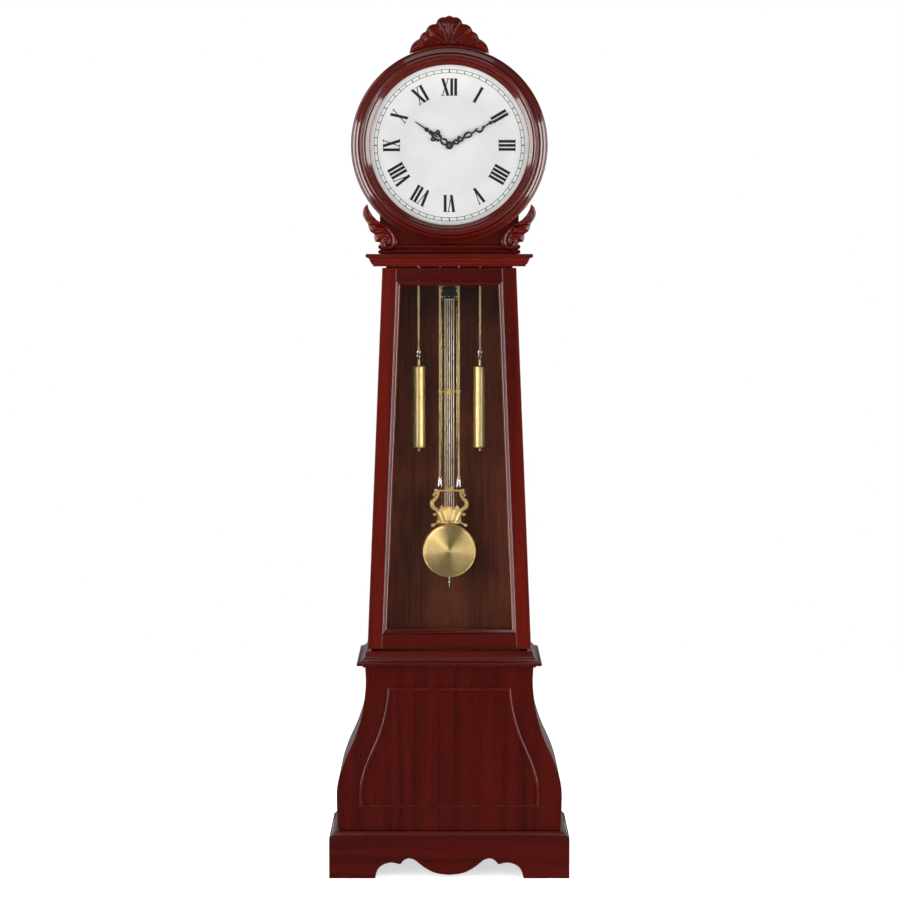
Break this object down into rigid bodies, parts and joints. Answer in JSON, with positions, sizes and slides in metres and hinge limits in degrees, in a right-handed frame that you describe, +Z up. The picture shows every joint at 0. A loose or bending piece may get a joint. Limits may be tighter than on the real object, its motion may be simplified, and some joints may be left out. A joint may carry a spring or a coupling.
{
  "type": "grandfather clock",
  "caption": "Tall wooden floor clock with a round head, a tapered glazed trunk door, a swinging lyre pendulum, hanging brass weights and a bombe base.",
  "frame": {"origin": "middle of the clock's footprint, at the floor", "axes": "+Z up, front faces -Y, +X to the viewer's right when facing the dial"},
  "size_m": [0.515, 0.248, 1.8337],
  "materials": {
    "cherry_wood": "deep red-brown cherry stain under gloss lacquer",
    "dark_panel": "very dark brown satin stain",
    "polished_brass": "polished and lacquered",
    "nickel_steel": "bright nickel plate",
    "black_metal": "satin black",
    "black_plastic": "fine matt texture",
    "dial_white": "matt white enamel paint",
    "clear_glass": "clear and polished",
    "battery_wrap": "plain printed sleeve"
  },
  "bodies": {
    "case": {"plinth_front": "cherry_wood", "plinth_side_left": "cherry_wood", "plinth_side_right": "cherry_wood", "plinth_rear_rail": "cherry_wood", "plinth_top_board": "cherry_wood", "base_front_panel": "cherry_wood", "base_panel_bead": "cherry_wood", "base_side_left": "cherry_wood", "base_side_right": "cherry_wood", "base_back_panel": "dark_panel", "waist_board": "cherry_wood", "trunk_side_left": "cherry_wood", "trunk_side_right": "cherry_wood", "trunk_back_panel": "dark_panel", "cornice_board": "cherry_wood", "door_magnet": "black_plastic", "door_hinge_upper_case_leaf": "nickel_steel", "door_hinge_lower_case_leaf": "nickel_steel", "neck_base_board": "cherry_wood", "neck_side_left": "cherry_wood", "neck_side_right": "cherry_wood", "head_front_board": "cherry_wood", "head_back_board": "dark_panel", "drum_shell": "cherry_wood", "hatch_hinge_fixed_leaf": "nickel_steel", "bezel_ring": "cherry_wood", "dial_glass": "clear_glass", "dial_plate": "dial_white", "crest_shell": "cherry_wood", "scroll_left": "cherry_wood", "scroll_right": "cherry_wood", "movement_housing": "black_plastic", "battery": "battery_wrap", "pendulum_drive": "black_plastic"},
    "door": {"door_stile_left": "cherry_wood", "door_stile_right": "cherry_wood", "door_rail_top": "cherry_wood", "door_rail_bottom": "cherry_wood", "door_bead": "cherry_wood", "door_glass": "clear_glass", "door_strike_plate": "nickel_steel", "door_hinge_upper_door_leaf": "nickel_steel", "door_hinge_lower_door_leaf": "nickel_steel"},
    "hatch": {"head_back_hatch": "dark_panel", "hatch_knob": "polished_brass", "hatch_hinge_moving_leaf": "nickel_steel"},
    "minute": {"minute_hand": "black_metal", "hand_nut": "black_metal"},
    "hour": {"hour_hand": "black_metal"},
    "setting_knob": {"set_knob": "black_plastic"},
    "pendulum": {"pendulum_gridiron": "polished_brass", "pendulum_lyre": "polished_brass", "pendulum_bob": "polished_brass", "pendulum_tip": "nickel_steel"},
    "left_weight": {"weight_left": "polished_brass", "weight_chain_left": "polished_brass"},
    "right_weight": {"weight_right": "polished_brass", "weight_chain_right": "polished_brass"},
    "left_free_chain": {"free_chain_left": "polished_brass"},
    "right_free_chain": {"free_chain_right": "polished_brass"}
  },
  "joints": [
    {"name": "door_hinge", "type": "hinge", "parent": "case", "child": "door", "pos_m": [0.15074, -0.0755, 1], "axis": [-0.0407, 0, 0.9992], "range_deg": [0, 100]},
    {"name": "hatch_hinge", "type": "hinge", "parent": "case", "child": "hatch", "pos_m": [-0.0845, 0.0628, 1.5626], "axis": [0, 0, 1], "range_deg": [0, 110]},
    {"name": "minute_turn", "type": "hinge", "parent": "case", "child": "minute", "pos_m": [0, -0.09, 1.5626], "axis": [0, 1, 0], "continuous": true},
    {"name": "hour_turn", "type": "hinge", "parent": "case", "child": "hour", "pos_m": [0, -0.088, 1.5626], "axis": [0, 1, 0], "continuous": true},
    {"name": "setting_knob_turn", "type": "hinge", "parent": "case", "child": "setting_knob", "pos_m": [0.02, -0.044, 1.5746], "axis": [0, 1, 0], "continuous": true},
    {"name": "pendulum_swing", "type": "hinge", "parent": "case", "child": "pendulum", "pos_m": [0, 0.012, 1.29], "axis": [0, 1, 0], "range_deg": [-3.5, 3.5]},
    {"name": "left_weight_swing", "type": "hinge", "parent": "case", "child": "left_weight", "pos_m": [-0.066, -0.02, 1.3076], "axis": [0, 1, 0], "range_deg": [-2, 2]},
    {"name": "right_weight_swing", "type": "hinge", "parent": "case", "child": "right_weight", "pos_m": [0.066, -0.02, 1.3076], "axis": [0, 1, 0], "range_deg": [-2, 2]},
    {"name": "left_free_chain_swing", "type": "hinge", "parent": "case", "child": "left_free_chain", "pos_m": [-0.0202, -0.02, 1.3076], "axis": [0, 1, 0], "range_deg": [-1, 1]},
    {"name": "right_free_chain_swing", "type": "hinge", "parent": "case", "child": "right_free_chain", "pos_m": [0.0202, -0.02, 1.3076], "axis": [0, 1, 0], "range_deg": [-1, 1]}
  ],
  "couplings": [
    {"joint": "hour_turn", "follows": "minute_turn", "ratio": 0.083333},
    {"joint": "setting_knob_turn", "follows": "minute_turn", "ratio": -0.33333}
  ]
}
